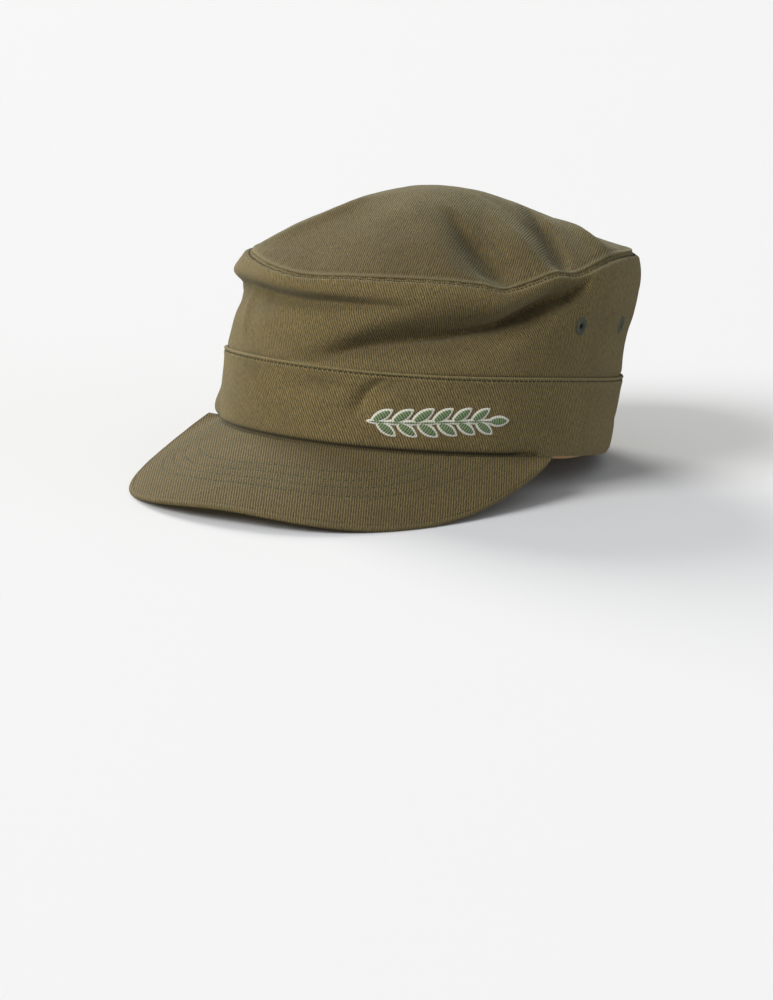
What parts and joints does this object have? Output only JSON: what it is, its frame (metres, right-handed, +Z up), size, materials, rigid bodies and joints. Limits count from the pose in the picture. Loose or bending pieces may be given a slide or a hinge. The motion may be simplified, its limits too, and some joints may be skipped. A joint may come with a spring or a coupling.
{
  "type": "army cap",
  "caption": "Soft field cap of olive cotton twill with a slanting folded crown, an oval top, a plain band and a short curved peak in front.",
  "frame": {"origin": "middle of the underside, on the surface that the cap rests on", "axes": "+Z up, -Y towards the front of the peak, +X towards the wearer's left"},
  "size_m": [0.172, 0.2928, 0.1192],
  "materials": {
    "olive_twill": "matt brushed cotton twill",
    "tan_tape": "matt cotton tape",
    "olive_thread": "matt sewing thread"
  },
  "bodies": {
    "root": {"crown_top": "olive_twill", "crown_wall": "olive_twill", "band": "olive_twill", "peak": "olive_twill", "sweatband": "tan_tape", "eyelet_left_front": "olive_thread", "eyelet_left_back": "olive_thread", "eyelet_right_front": "olive_thread", "eyelet_right_back": "olive_thread"}
  },
  "joints": []
}
